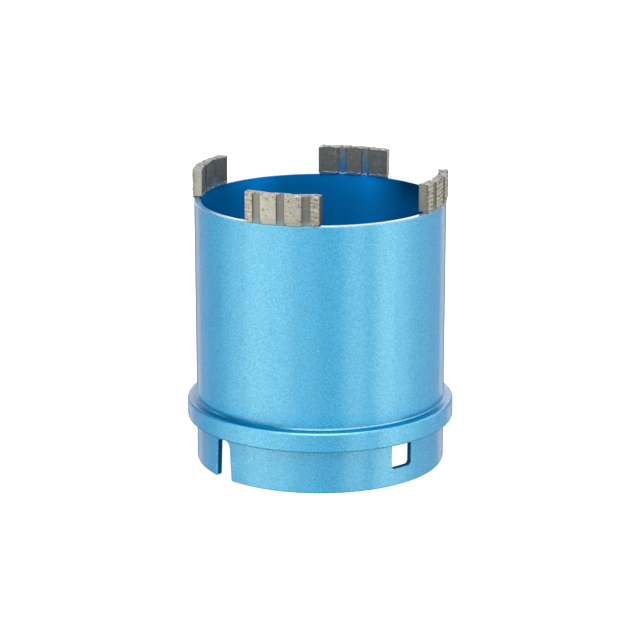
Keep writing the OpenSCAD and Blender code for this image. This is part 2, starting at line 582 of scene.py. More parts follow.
def hang(name: str, data: bpy.types.ID) -> bpy.types.Object:
    """Puts a mesh, light or camera in the scene.

    Args:
        name: the object's name.
        data: the mesh, light or camera.

    Returns:
        The object.
    """
    made = bpy.data.objects.new(name, data)
    bpy.context.scene.collection.objects.link(made)
    return made


@dataclass
class Workshop:
    """Turns shells into pieces that ride on the part, with one material for each of the record's slots."""

    finishes: dict[Slot, bpy.types.Material]

    def piece(self, name: str, shell: Shell, slot: Slot, node: str, layers: dict[str, Array],
              unrolled: Array | None = None) -> None:
        """Makes a piece that stands for a node of the part.

        Args:
            name: the piece's name.
            shell: its skin, in millimetres in the part's frame.
            slot: the record's slot whose finish it takes.
            node: the node that it replaces.
            layers: values, or rows of three values, that the mesh carries at its points.
            unrolled: a (u, z) row in millimetres for each point, kept as the UV map "unrolled" in metres.
        """
        mesh = bpy.data.meshes.new(name)
        mesh.from_pydata((shell.points * MM).tolist(), [], shell.quads.tolist())
        mesh.polygons.foreach_set("use_smooth", np.ones(len(mesh.polygons), bool))
        for key, value in layers.items():
            kind, member = ("FLOAT", "value") if value.ndim == 1 else ("FLOAT_COLOR", "color")
            if value.ndim == 2:
                value = np.concatenate([value, np.ones((len(value), 1))], axis=1)
            data = mesh.attributes.new(key, kind, "POINT").data
            data.foreach_set(member, value.ravel().astype(np.float32))
        if unrolled is not None:
            corner = np.zeros(len(mesh.loops), np.int32)
            mesh.loops.foreach_get("vertex_index", corner)
            flat = (unrolled * MM)[corner].astype(np.float32)
            mesh.uv_layers.new(name="unrolled").uv.foreach_set("vector", flat.ravel())
        mesh.materials.append(self.finishes[slot])
        made = hang(name, mesh)
        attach(made, "root")
        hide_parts(node)
        log.info("%s: %d faces, in place of %s", name, len(shell.quads), node)


@dataclass
class Opening:
    """A notch or window through the tube's wall, in its own unrolled place: x to either side, z up.

    The three reaches say how far from the opening the grid still follows its corners, in corner radii, and
    its taper and its mouth, in millimetres.
    """

    azimuth: float
    half_width: float
    low: float
    high: float
    corner: float
    corner_stretch: float = 1.0
    end_half_width: float = 0.0
    mouth_round: float = 0.0
    corner_reach: float = 2.5
    taper_reach: float = 8.0
    mouth_reach: float = 3.0

    @property
    def open_foot(self) -> bool:
        """True if the opening runs out at the foot."""
        return self.low <= 0

    def middle(self) -> tuple[float, float]:
        """Height of the opening's middle and half its height. A notch's middle lies at the foot."""
        low = -self.high if self.open_foot else self.low
        return (low + self.high) / 2, (self.high - low) / 2

    def outward(self, x: Array, z: Array) -> Array:
        """How far a point lies outside the opening's rectangle, the larger of its two overshoots."""
        zc, b = self.middle()
        return np.maximum(np.abs(x) - self.half_width, np.abs(z - zc) - b)

    def fitted(self, x: Array, z: Array) -> tuple[Array, Array]:
        """Bends a rectangular grid round the opening's real outline.

        A point keeps its overshoot. On a corner it slides onto a quarter circle whose radius is the corner's
        plus the overshoot, and which fades to a sharp corner further out. A notch also narrows upwards and
        opens a little at its mouth.

        Args:
            x: place beside the opening's middle line.
            z: height above the foot.

        Returns:
            The bent x and z.
        """
        zc, b = self.middle()
        ax, ay = np.abs(x), np.abs(z - zc)
        out = np.maximum(self.outward(x, z), 0)
        fade = 1 - smooth(out / (self.corner_reach * self.corner))
        far_x, far_y = self.half_width + out, b + out
        rad_x = np.maximum((self.corner * self.corner_stretch + out) * fade, 1e-6)
        rad_y = np.maximum((self.corner + out) * fade, 1e-6)
        upright = ax - self.half_width >= ay - b
        along = np.where(upright, (ay - (far_y - rad_y)) / rad_y, (ax - (far_x - rad_x)) / rad_x)
        turn = np.clip(along, 0, 1) * np.pi / 4
        on_arc = (along > 0) & (self.outward(x, z) >= -1e-9)
        lean, rest = np.sin(turn), np.cos(turn)
        arc_x = far_x - rad_x + rad_x * np.where(upright, rest, lean)
        arc_y = far_y - rad_y + rad_y * np.where(upright, lean, rest)
        new_x = np.where(on_arc, arc_x, ax)
        new_y = np.where(on_arc, arc_y, ay)
        if self.end_half_width:
            level = np.clip(new_y / b, 0, 1)
            narrow = (self.half_width - self.end_half_width) / self.half_width * level
            new_x = new_x * (1 - narrow * (1 - smooth(out / self.taper_reach)))
        if self.mouth_round:
            new_x = new_x + quarter_round(new_y, self.mouth_round) * (1 - smooth(out / self.mouth_reach))
        return np.sign(x) * new_x, zc + np.where(z < zc, -1, 1) * new_y


@dataclass
class Tube:
    """The barrel: a tube with two drive notches at the foot and two windows.

    The lists of rows are heights at which the grid is closer, as the edges of the painted corner shade lie
    there. The shade shares say how much painted shade dulls the paint in the corners and on the cut walls,
    and the tones how much brighter or darker the paint is painted.
    """

    radius: float = 40.5
    wall: float = 2.2
    height: float = 86.0
    lead_in: float = 0.5
    lip: float = 0.28
    rim_lip: float = 0.24
    ring_foot: float = 14.4
    ring_top: float = 20.6
    column_step: float = 1.25
    notch_step: float = 0.9
    lip_columns: Four = (0.55, 1.0, 1.8, 2.9)
    foot_rows: tuple[float, ...] = (0.5, 0.8, 1.3, 2.0, 3.0, 4.0)
    window_rows: Four = (7.6, 8.4, 9.2, 10.0)
    ring_rows: tuple[float, ...] = (20.4, 21.1, 21.7, 22.2, 22.8, 23.5, 24.8, 26.2)
    rim_rows: tuple[float, ...] = (0.5, 1.0, 2.0)
    even_from: float = 16.5
    even_short: float = 4.0
    row_step: float = 4.2
    corner_stations: int = 8
    wall_layers: int = 4
    # Painted shade round the stop ring: under it (foot), in a soft band over it (soft), in the corner just
    # over it (heel)
    foot_shade: float = 0.3
    soft_shade: float = 0.36
    soft_tone: float = 0.2
    heel_tone: float = -0.3
    # Painted shade on the cut walls below the stop ring
    cut_wall_shade: float = 0.5
    cut_tone: float = -0.4
    # Painted light: part of the bore lighter near the rim
    bore_rim_light: float = 0.22
    # Painted shade in the narrow corner just over the stop ring, by azimuth
    heel_shade: RoundAxis = RoundAxis(
        ((-30, 0.3), (-10, 0.8), (10, 0.85), (30, 0.5), (42, 0.2), (85, 0.2), (95, 0.7), (120, 0.5)))
    # Painted highlight on the rim's upper face, by azimuth
    rim_highlight: RoundAxis = RoundAxis(((0, 0.3), (12, 1.0), (290, 1.0), (315, 0.3), (360, 0.3)))
    # Painted light and shade on the bore, by azimuth
    bore_shading: RoundAxis = RoundAxis(
        ((0, 0.0), (140, -0.2), (170, -0.75), (183, -0.70), (193, -0.20), (203, 0.50), (216, 0.0),
         (236, -0.30), (248, -0.30), (263, 0.35), (273, 0.0), (285, -0.3), (320, 0.0), (360, 0.0)))
    openings: tuple[Opening, ...] = (
        Opening(0, 3.755, 0, 13.0, 2.2, 1.25, 3.0, 0.5),
        Opening(90, 4.107, 5.6, 14.2, 1.2),
        Opening(180, 3.755, 0, 13.0, 2.2, 1.25, 3.0, 0.5),
        Opening(270, 4.107, 5.6, 14.2, 1.2),
    )

    @property
    def bore(self) -> float:
        """Radius of the tube's inner face."""
        return self.radius - self.wall

    def side_columns(self, opening: Opening) -> Array:
        """Stations from an opening's middle line to the border of its quarter, in millimetres of arc.

        Args:
            opening: the opening.

        Returns:
            Even steps on the arc of its corner, the stations of its rounded lip, then even steps.
        """
        half, arc = opening.half_width, opening.corner * opening.corner_stretch
        quarter = self.radius * np.pi / 4
        inner = np.linspace(0, half - arc, max(2, int((half - arc) / self.notch_step) + 2))
        corner = half - arc * (1 - np.linspace(0, 1, self.corner_stations))
        beyond = half + np.array(self.lip_columns)
        steps = int((quarter - beyond[-1]) / self.column_step)
        rest = np.linspace(beyond[-1], quarter, steps + 1)
        lip = half + self.lip * LIP_SHARES
        return np.unique(np.round(np.concatenate([inner, corner, lip, beyond, rest]), 5))

    def rows(self) -> Array:
        """Stations up the tube: lips and corner arcs of every opening, and even steps between.

        Returns:
            The heights of the grid's rows.
        """
        lip = self.lip * LIP_SHARES
        heights = [lip, self.foot_rows, self.ring_rows, self.height - self.rim_lip * LIP_SHARES,
                   self.height - np.array(self.rim_rows)]
        for opening in self.openings[:2]:
            arc = opening.corner * (1 - np.linspace(0, 1, self.corner_stations))
            heights += [opening.high - arc, opening.high + lip, [opening.high + 0.6, opening.high + 1.2]]
            if not opening.open_foot:
                heights += [opening.low + arc, opening.low - lip, [opening.low - 0.6]]
        fixed = np.unique(np.round(np.concatenate(heights), 5))
        top = self.height - self.even_short
        even = np.linspace(self.even_from, top, int((top - self.even_from) / self.row_step) + 1)
        even = np.concatenate([self.window_rows, even])
        clear = np.abs(even[:, None] - fixed[None]).min(axis=1) > 0.3
        joined = np.sort(np.concatenate([fixed, even[clear]]))
        return joined[np.concatenate([[True], np.diff(joined) > 0.004])]

    def grid(self) -> tuple[Array, Array, Array, Array, Array]:
        """Lays the two faces' grid over the unrolled tube and bends it round the openings.

        Near an opening the inner face's azimuth is where a straight cut through the wall comes out.

        Returns:
            The outer face's azimuth, the inner face's azimuth, the height, the distance to the nearest free
            edge, and which cells are solid.
        """
        rows = self.rows()
        parts = []
        for opening in self.openings:
            half = self.side_columns(opening)
            x = np.concatenate([-half[:0:-1], half])
            grid_x, grid_z = np.meshgrid(x, rows)
            bent_x, bent_z = opening.fitted(grid_x, grid_z)
            centre = math.radians(opening.azimuth)
            straight = np.arcsin(np.clip(self.radius * np.sin(bent_x / self.radius) / self.bore, -1, 1))
            share = 1 - smooth((np.abs(bent_x) - 7) / 12)
            turned = bent_x / self.radius
            edge = np.maximum(opening.outward(grid_x, grid_z), 0)
            faces = (centre + turned, centre + turned + (straight - turned) * share, bent_z, edge)
            mid_x, mid_z = (x[1:] + x[:-1]) / 2, (rows[1:] + rows[:-1]) / 2
            solid = opening.outward(mid_x[None], mid_z[:, None]) > 0
            parts.append([*(face[:, :-1] for face in faces), solid])
        return tuple(np.concatenate(part, axis=1) for part in zip(*parts))

    def shell(self) -> Shell:
        """The tube's skin: two bent grids, and strips through the wall along every free edge.

        A point of the outer face stands at the tube's radius less the drop of the nearest rounded edge; the
        inner face stands at the bore plus that drop, or at the foot's lead-in chamfer where that is deeper.

        Returns:
            The skin.
        """
        azimuth, inner, height, edge, solid = self.grid()
        drop = np.maximum(quarter_round(np.minimum(edge, height), self.lip),
                          quarter_round(self.height - height, self.rim_lip))
        inner_r = self.bore + np.maximum(drop, np.clip(self.lead_in - height, 0, self.lead_in))
        outside, inside = (
            np.stack([r * np.sin(angle), -r * np.cos(angle), height], axis=2).reshape(-1, 3)
            for angle, r in ((azimuth, self.radius - drop), (inner, inner_r)))
        count = azimuth.size
        table = np.pad(np.arange(count).reshape(azimuth.shape), ((0, 0), (0, 1)), mode="wrap")
        corners = np.stack([table[:-1, :-1], table[:-1, 1:], table[1:, 1:], table[1:, :-1]], axis=2)
        outer_quads = corners[solid]
        directed = np.stack([outer_quads.ravel(), np.roll(outer_quads, -1, axis=1).ravel()], axis=1)
        key, opposite = directed @ [count, 1], directed @ [1, count]
        free = directed[~np.isin(key, opposite)]
        edge_points, local = np.unique(free, return_inverse=True)
        start, end = local.reshape(free.shape).T
        strips = 2 * count + np.arange(self.wall_layers * len(edge_points)).reshape(self.wall_layers, -1)
        shares = np.arange(1, self.wall_layers + 1) / (self.wall_layers + 1)
        layers = (outside[edge_points] * (1 - t) + inside[edge_points] * t for t in shares)
        points = [outside, inside, *layers]
        quads = [outer_quads, (outer_quads + count)[:, ::-1]]
        rings = [edge_points, *strips, edge_points + count]
        for here, then in zip(rings, rings[1:]):
            quads.append(np.stack([here[end], here[start], then[start], then[end]], axis=1))
        all_quads = np.concatenate(quads)
        used, numbers = np.unique(all_quads, return_inverse=True)
        return Shell(np.concatenate(points)[used], numbers.reshape(all_quads.shape))

    def build(self, shop: Workshop) -> None:
        """Builds and dresses the tube.

        Its layer "inside" is 1 on the bore's face, on the openings' walls and along the foot's edge, where it
        gives a darker matt blue that is painted shade on the walls and the foot's edge and partly painted
        shade on the bore.
        "pale" is 1 on the rim's upper face, a painted highlight, and "still" is painted shade in the corners
        over and under the stop ring and on the cut walls. The layer "tone" paints light and shade: uneven on
        the bore round the axis and lighter near the rim, and on the cut walls and the corners round the ring.

        Args:
            shop: where the piece is made.
        """
        shell = self.shell()
        azimuth, z = shell.azimuth(), shell.points[:, 2]
        turn = azimuth % 360
        depth = self.radius - np.hypot(shell.points[:, 0], shell.points[:, 1])
        below_rim, over_ring, over_foot = self.height - z, z - self.ring_top, z - self.ring_foot
        bore = smooth((depth - self.wall + 0.5) / 0.45)
        walls = smooth((depth - 0.16) / 0.3)
        # inside: darker matt blue, painted shade on the walls and the foot's edge, partly painted shade on
        # the bore
        inside = np.maximum(bore, walls * (1 - smooth((1.0 - below_rim) / 0.5)))
        # Painted highlight on the rim's upper face
        pale = smooth((0.35 - below_rim) / 0.25) * (1 - bore) * self.rim_highlight.at(turn)
        seen = smooth((over_ring + 0.4) / 0.4)
        # Painted shade round the stop ring: over it (over, soft, heel) and under it (under)
        over = smooth((2.3 - over_ring) / 1.3) * seen
        soft = smooth((6.9 - over_ring) / 6.0) * seen * (1 - over)
        under = smooth((over_foot + 1.2) / 0.4) * smooth((1.0 - over_foot) / 0.4)
        heel = over * self.heel_shade.at(azimuth)
        # Painted shade on the cut walls below the stop ring
        cut = walls * (1 - bore) * smooth(1.6 - over_foot) * smooth((z - 0.3) / 0.4)
        still = heel + (self.foot_shade * under + self.soft_shade * soft) * CORNER_SHADE_SHARE.at(azimuth)
        # Painted light and shade on the bore: uneven round the axis and lighter near the rim
        film = self.bore_shading.at(turn) * (1 + smooth((7 - below_rim) / 5)) / 2
        film = film + self.bore_rim_light * smooth((6 - below_rim) / 5) * smooth((turn - 195) / 20)
        tone = bore * film + self.cut_tone * cut + self.soft_tone * soft + self.heel_tone * heel
        still = np.maximum(still, self.cut_wall_shade * cut)
        layers = {"inside": inside, "pale": pale, "still": still, "tone": tone}
        shop.piece("painted_tube", shell, Slot.PAINT, "barrel", layers)


@dataclass
class StopRing:
    """The collar that stops the bit on its adapter, with the fillet of braze on its upper face."""

    tube_r: float = 40.5
    fit: float = 0.05
    proud: float = 2.987
    foot: float = 14.4
    high: float = 6.2
    top_round: float = 0.8
    foot_round: float = 0.3
    inner_round: float = 0.12
    face_shares: tuple[float, ...] = (0.05, 0.1, 0.5, 0.9, 0.95)
    braze_leg: float = 0.8
    # Painted shade on the flat, the lower edge and the fillet; painted highlight on the front edge and fillet
    # top
    braze_dark: float = 0.26
    film: float = 0.95
    foot_shade: float = 0.6
    edge_shade: float = 0.9
    edge_highlight: float = 0.6
    edge_tone: float = 0.45
    braze_highlight: float = 0.45
    braze_tone: float = 0.6
    braze_bright: RoundAxis = RoundAxis(
        ((-180, 0.5), (-4, 0.5), (4, 0.0), (28, 0.0), (40, 1.0), (85, 1.0), (115, 0.5), (180, 0.5)))
    around: int = 360

    @property
    def top(self) -> float:
        """Height of the collar's upper face."""
        return self.foot + self.high

    def corner(self, r: float, z: float, radius: float, start: float) -> Array:
        """A quarter turn of a rounded corner.

        Args:
            r, z: where the sharp corner would be.
            radius: the corner's radius.
            start: direction of the first point from the arc's centre, in degrees.

        Returns:
            The arc's points, turning anticlockwise.
        """
        middle = math.radians(start + 45)
        centre = np.array([r, z]) - radius * np.sign([math.cos(middle), math.sin(middle)])
        turn = np.radians(start) + np.linspace(0, np.pi / 2, ARC_POINTS)
        return centre + radius * np.stack([np.cos(turn), np.sin(turn)], axis=1)

    def ring_shell(self) -> Shell:
        """The collar: a rounded rectangle, with a few stations along its faces, carried round the axis.

        Returns:
            The skin.
        """
        inner, outer = self.tube_r + self.fit, self.tube_r + self.proud
        arcs = [self.corner(inner, self.foot, self.inner_round, 180),
                self.corner(outer, self.foot, self.foot_round, 270),
                self.corner(outer, self.top, self.top_round, 0),
                self.corner(inner, self.top, self.inner_round, 90)]
        share = np.array(self.face_shares)[:, None]
        profile = []
        for here, then in zip(arcs, arcs[1:] + arcs[:1]):
            profile += [here, here[-1] * (1 - share) + then[0] * share]
        return revolved(np.concatenate(profile), self.around)

    def braze_shell(self) -> Shell:
        """The fillet: a quarter circle that is hollow towards the outside, carried round the axis.

        Returns:
            The skin.
        """
        turn = np.radians(np.linspace(270, 180, ARC_POINTS))
        centre = np.array([self.tube_r + self.braze_leg, self.top + self.braze_leg])
        hollow = centre + self.braze_leg * np.stack([np.cos(turn), np.sin(turn)], axis=1)
        return revolved(np.concatenate([[[self.tube_r, self.top]], hollow]), self.around)

    def build(self, shop: Workshop) -> None:
        """Builds and dresses the collar and its fillet.

        Painted shade dulls and darkens the collar's flat and its lower edge. The outer edge over the flat has
        a painted highlight in front and painted shade behind, and so has the upper part of the fillet.

        Args:
            shop: where the pieces are made.
        """
        ring = self.ring_shell()
        azimuth = ring.azimuth()
        out = np.hypot(ring.points[:, 0], ring.points[:, 1]) - self.tube_r - self.proud
        down, up = self.top - ring.points[:, 2], ring.points[:, 2] - self.foot
        flat = smooth((0.25 - down) / 0.2) * (1 - smooth((out + self.top_round + 0.1) / 0.4))
        low_edge = 1 - smooth((up - 0.32) / 0.25)
        # Painted shade on the flat and lower edge; the outer top edge has a painted highlight in front, shade
        # behind
        worn = smooth((out + 0.75) / 0.2) * smooth((0.5 - down) / 0.2)
        front = smooth((azimuth + 15) / 35) * smooth((125 - azimuth) / 20)
        still = np.maximum(self.film * flat, self.foot_shade * low_edge) * CORNER_SHADE_SHARE.at(azimuth)
        still = np.maximum(still, self.edge_shade * worn * (1 - front))
        tone = self.edge_tone * worn * front - CORNER_SHADE_DEPTH.at(azimuth) * still
        layers = {"still": still, "tone": tone, "pale": self.edge_highlight * worn * front}
        shop.piece("painted_stop_ring", ring, Slot.PAINT, "stop_ring", layers)
        braze = self.braze_shell()
        azimuth = braze.azimuth()
        # The fillet: a painted highlight on its upper part where braze_bright is high, painted shade on the
        # rest
        bright = smooth((braze.points[:, 2] - self.top - self.braze_dark) / 0.12)
        bright = bright * self.braze_bright.at(azimuth)
        still = self.film * (1 - bright) * CORNER_SHADE_SHARE.at(azimuth)
        tone = self.braze_tone * bright - CORNER_SHADE_DEPTH.at(azimuth) * still
        layers = {"still": still, "tone": tone, "pale": self.braze_highlight * bright}
        shop.piece("painted_braze_fillet", braze, Slot.PAINT, "ring_braze", layers)


@dataclass(frozen=True)
class Hue:
    """The tints of a segment's faces."""

    land: Colour = linear(204, 203, 186)
    rough_land: Colour = linear(200, 194, 180)
    pink: Colour = linear(206, 187, 174)
    groove: Colour = linear(146, 146, 136)
    end: Colour = linear(186, 186, 172)
    inner_land: Colour = linear(126, 129, 122)
    inner_groove: Colour = linear(132, 146, 142)
    top: Colour = linear(206, 204, 198)
    burnt: Colour = linear(74, 58, 50)
    stray: Colour = linear(106, 164, 190)


@dataclass(frozen=True)
class Wear:
    """What sets one segment's skin apart from the others'.

    The four ridge heights and pit depths, in millimetres, belong to the outer lands. The end tones multiply
    the tint of the low end and the high end as painted light and shade. The inner spray is how high stray
    paint stands in the inner grooves, in millimetres. The top wear multiplies the lumps and chips of the
    cutting face, and the inner specks say how strongly the inner face is speckled. The tones multiply the
    tint of the outer lands along the segment as painted light, and the stray colour is the paint in the
    inner grooves.
    """

    ridges: Four
    pits: Four
    ends: Span
    inner_spray: float
    top_wear: float
    inner_specks: float = 0.12
    tones: Four = (1.0, 1.0, 1.0, 1.0)
    stray: Colour = linear(2, 108, 172)


@dataclass
class Segment:
    """One sintered cutting segment with its weld seam: a block that is bent to the tube.

    Places on the block are s along it, z up, and w through its thickness, positive towards the outside.
    """

    number: int
    turn: float
    wear: Wear
    tube_r: float = 40.5
    wall: float = 2.2
    rim: float = 86.0
    seam: float = 0.8
    seam_root: float = 0.4
    seam_inset: float = 0.3
    top: float = 95.699
    half: float = 12.0
    proud: float = 0.5
    foot_proud: float = 0.25
    taper: float = 2.0
    skin: float = 0.02
    lead_round: float = 1.1
    trail_round: float = 0.4
    outer_groove: float = 2.6
    inner_groove: float = 2.8
    pitch: float = 8.0
    groove_run: float = 0.16
    top_round: float = 0.36
    end_round: float = 0.2
    corner_round: float = 0.4
    pit_count: int = 52
    pit_size: Span = (0.11, 0.23)
    ridge_pitch: float = 1.3
    grain_depth: float = 0.02
    station: float = 0.27
    bead_pitch: float = 0.62
    bead_low: Colour = (0.14, 0.10, 0.10)
    bead_high: Colour = (0.40, 0.20, 0.24)
    hue: Hue = Hue()

    def grooves(self, face: Face) -> list[Span]:
        """Where each groove of a face starts and ends along the segment: a pitch apart, round its middle."""
        count, width = (3, self.outer_groove) if face is Face.OUTER else (2, self.inner_groove)
        return [(m - width / 2, m + width / 2) for m in (np.arange(count) - (count - 1) / 2) * self.pitch]

    def lands(self, face: Face) -> list[Span]:
        """Where each land of a face starts and ends: between the segment's ends and its grooves."""
        edges = [-self.half, *(side for groove in self.grooves(face) for side in groove), self.half]
        return list(zip(edges[::2], edges[1::2]))

    def inside_land(self, s: Array, z: Array, land: Span) -> Array:
        """How deep a point lies inside a land's outline; negative outside it.

        Args:
            s: place along the segment.
            z: height.
            land: the land's start and end.

        Returns:
            The distance to the nearest of its two sides and its foot, or to the arc of a lower corner. The
            segment's own ends don't count as sides.
        """
        start, end = land
        left, right, foot = s - start, end - s, z - self.rim
        inside = foot
        if start > -self.half:
            inside = np.minimum(inside, left)
        if end < self.half:
            inside = np.minimum(inside, right)
        lead = self.lead_round if start > -self.half else self.trail_round
        for side, radius in ((left, lead), (right, self.trail_round)):
            on_corner = (side < radius) & (foot < radius)
            arc = radius - np.hypot(radius - side, radius - foot)
            inside = np.where(on_corner, np.minimum(inside, arc), inside)
        return inside

    def depth(self, s: Array, z: Array, face: Face) -> tuple[Array, Array]:
        """How far a face stands out from the core, and how much of a land a point is on.

        Args:
            s: place along the segment.
            z: height.
            face: which face.

        Returns:
            The stand-out in millimetres, and a share from 0 in a groove to 1 on a land.
        """
        share = np.zeros_like(s)
        for land in self.lands(face):
            share = np.maximum(share, smooth(self.inside_land(s, z, land) / self.groove_run + 0.5))
        full = np.full_like(s, self.proud)
        if face is Face.OUTER:
            level = np.clip((z - self.rim) / self.taper, 0, 1)
            full = self.foot_proud + (self.proud - self.foot_proud) * level
        return self.skin + (full - self.skin) * share, share

    def groove_shade(self, s: Array, face: Face) -> Array:
        """Painted shade in a groove: soft beside the land before it, a thin dark line at the land after it.

        Args:
            s: place along the segment.
            face: which face.

        Returns:
            What the tint is multiplied by: 1 outside the grooves.
        """
        shade = np.ones_like(s)
        for before, after in self.grooves(face):
            within = (s > before - 0.08) & (s < after + 0.08)
            dark = 0.42 * np.exp(-np.abs(s - before) / 0.5) + 0.55 * np.exp(-np.abs(after - s) / 0.16)
            shade = np.where(within, 1 - np.clip(dark, 0, 0.8), shade)
        return shade

    def land_value(self, s: Array, values: Four) -> Array:
        """Gives each place along the segment the value of its nearest outer land."""
        middles = np.array([(a + b) / 2 for a, b in self.lands(Face.OUTER)])
        return np.asarray(values)[np.abs(s[:, None] - middles[None]).argmin(axis=1)]

    def rounded(self, a: Array, far_a: float, b: Array, far_b: float, radius: float) -> tuple[Array, Array]:
        """Rounds the edge where |a| and |b| both reach their ends: squares round it become quarter circles.

        Args:
            a, far_a: places along one direction, and how far they reach.
            b, far_b: the same along the other.
            radius: the edge's radius.

        Returns:
            The new places along the two directions.
        """
        da = np.maximum(np.abs(a) - (far_a - radius), 0)
        db = np.maximum(np.abs(b) - (far_b - radius), 0)
        shrink = np.maximum(da, db) / np.maximum(np.hypot(da, db), 1e-9)
        both = (da > 0) & (db > 0)
        new_a = np.where(both, np.sign(a) * (far_a - radius + da * shrink), a)
        new_b = np.where(both, np.sign(b) * (far_b - radius + db * shrink), b)
        return new_a, new_b

    def relief(self, s: Array, z: Array, w: Array, land: Array) -> tuple[Array, Array]:
        """Height of the rough skin over the plain shape.

        Ridges lie across the outer lands, 1.3 mm apart and broken up by noise; round pits are pressed into
        the smoother lands; a fine grain covers everything.

        Args:
            s, z, w: places on the block.
            land: how much of an outer land each point is on.

        Returns:
            The height in millimetres, and how deep in a pit each point is, from 0 to 1.
        """
        grain = Grain(self.number * 31)
        outer = smooth((w - 1.2) / 0.3) * land
        wander = grain.value(s / 1.7, z / 3.0, 0)
        ridge = 0.5 * np.sin(2 * np.pi * (z / self.ridge_pitch + 0.4 * wander))
        ridge = ridge + 0.8 * grain.layered(s / 0.7, z / 0.45, 5, 2)
        height = self.grain_depth * grain.layered(s / 0.6, z / 0.6, w / 0.6)
        height = height + outer * self.land_value(s, self.wear.ridges) * ridge
        random = np.random.default_rng(self.number)
        pit_s = random.uniform(-11.6, 11.6, self.pit_count)
        pit_z = random.uniform(87, 95.2, self.pit_count)
        size = random.uniform(*self.pit_size, self.pit_count)
        reach = ((s[:, None] - pit_s) ** 2 + (z[:, None] - pit_z) ** 2) / size**2
        pit = np.exp(-reach).max(axis=1) * outer
        return height - self.land_value(s, self.wear.pits) * pit, pit

    def shaped(self) -> tuple[Array, Array, Array, Array]:
        """The block's skin before it is bent, with rounded edges and its core lifted off the seam.

        Returns:
            Places s along the segment, z up and w through it, and the faces.
        """
        core, thick = self.wall / 2, self.wall / 2 + self.proud
        sides = [side for face in Face for groove in self.grooves(face) for side in groove]
        lip = self.end_round * LIP_SHARES
        along = stations(-self.half, self.half, self.station, sides, [-0.1, -0.05, 0.0, 0.05, 0.1])
        along = np.unique(np.round(np.concatenate([along, -self.half + lip, self.half - lip]), 4))
        turns = [self.rim + 0.1, self.rim + 0.5, self.top - 0.4]
        up = stations(self.rim, self.top, self.station, turns, [-0.1, 0.0, 0.12])
        up = np.unique(np.round(np.concatenate([up, self.top - self.top_round * LIP_SHARES]), 4))
        through = [thick - 0.2, thick - 0.36, core + 0.02, core, core - 0.05, core * 0.66, core * 0.33]
        through = np.concatenate([through, thick - self.end_round * LIP_SHARES])
        through = np.unique(np.round(np.concatenate([-through, [0.0], through]), 4))
        raw, quads = block_skin(along, up, through)
        s, z, w = raw.T
        middle, tall = (self.top + self.rim) / 2, (self.top - self.rim) / 2
        lift, w = self.rounded(np.maximum(z - middle, 0), tall, w, thick, self.top_round)
        s, w = self.rounded(s, self.half, w, thick, self.end_round)
        s, lift = self.rounded(s, self.half, lift, tall, self.corner_round)
        z = np.where(z > middle, middle + lift, z)
        hangs = smooth((np.abs(w) - core) / 0.02)
        base = self.rim + self.seam * np.maximum(1 - hangs, smooth((np.abs(s) - self.half + 0.5) / 0.35))
        return s, self.top - (self.top - z) * (self.top - base) / (self.top - self.rim), w, quads

    def worn_top(self, s: Array, z: Array, w: Array) -> Array:
        """How far the cutting face is worn down: soft lumps all over, and chips along its edges.

        Args:
            s, z, w: places on the block.

        Returns:
            The wear in millimetres.
        """
        grain, thick = Grain(self.number * 57), self.wall / 2 + self.proud
        flat = smooth((z - self.top + 0.5) / 0.3)
        lumps = 0.15 * grain.layered(s / 0.8, w / 0.8, 0) + 0.10 * smooth(grain.value(s / 2.3, w / 1.5, 3))
        long_edge = smooth((np.abs(w) - thick + 0.6) / 0.4)
        border = np.maximum(long_edge, smooth((np.abs(s) - self.half + 0.5) / 0.4))
        chips = border * smooth(grain.value(s / 0.9, w / 0.9, 8) * 1.6 - 0.05) * 0.34
        wear = lumps + chips + 0.18 * self.groove_mouth(s, w)
        return np.clip(flat * self.wear.top_wear * wear, 0, 0.7)

    def groove_mouth(self, s: Array, w: Array) -> Array:
        """How near a place on the cutting face is to the mouth of a groove.

        Args:
            s, w: places on the block.

        Returns:
            A share from 0 to 1, on the groove's own side.
        """
        near = np.zeros_like(s)
        for face in Face:
            side = smooth((face.value * w - self.wall / 2 + 0.35) / 0.25)
            for before, after in self.grooves(face):
                within = smooth((s - before + 0.1) / 0.3) * smooth((after + 0.1 - s) / 0.3)
                near = np.maximum(near, side * within)
        return near

    def block(self) -> tuple[Shell, dict[str, Array], Array]:
        """The segment's skin, with its layers.

        The faces are pushed out by the lands, the block is bent to the tube as (s, -sqrt(r^2 - s^2), z) and
        turned about the axis, and the rough skin is laid on along the normals.

        Returns:
            The skin, the layers, and the unrolled places.
        """
        s, z, w, quads = self.shaped()
        core = self.wall / 2
        out, on_outer = self.depth(s, z, Face.OUTER)
        into, on_inner = self.depth(s, z, Face.INNER)
        beyond = np.clip((np.abs(w) - core) / self.proud, 0, 1)
        radial = self.tube_r - core + np.clip(w, -core, core) + beyond * np.where(w > 0, out, -into)
        plain = Shell(self.bent(s, radial, z), quads)
        height, pit = self.relief(s, z, w, on_outer)
        height = height * (1 - smooth((z - self.top + 0.5) / 0.3))
        points = plain.points + plain.normals() * height[:, None]
        points[:, 2] -= self.worn_top(s, z, w)
        layers = self.tints(s, z, w, on_outer, on_inner, height, pit)
        return Shell(points, quads), layers, np.stack([s + w, z], axis=1)

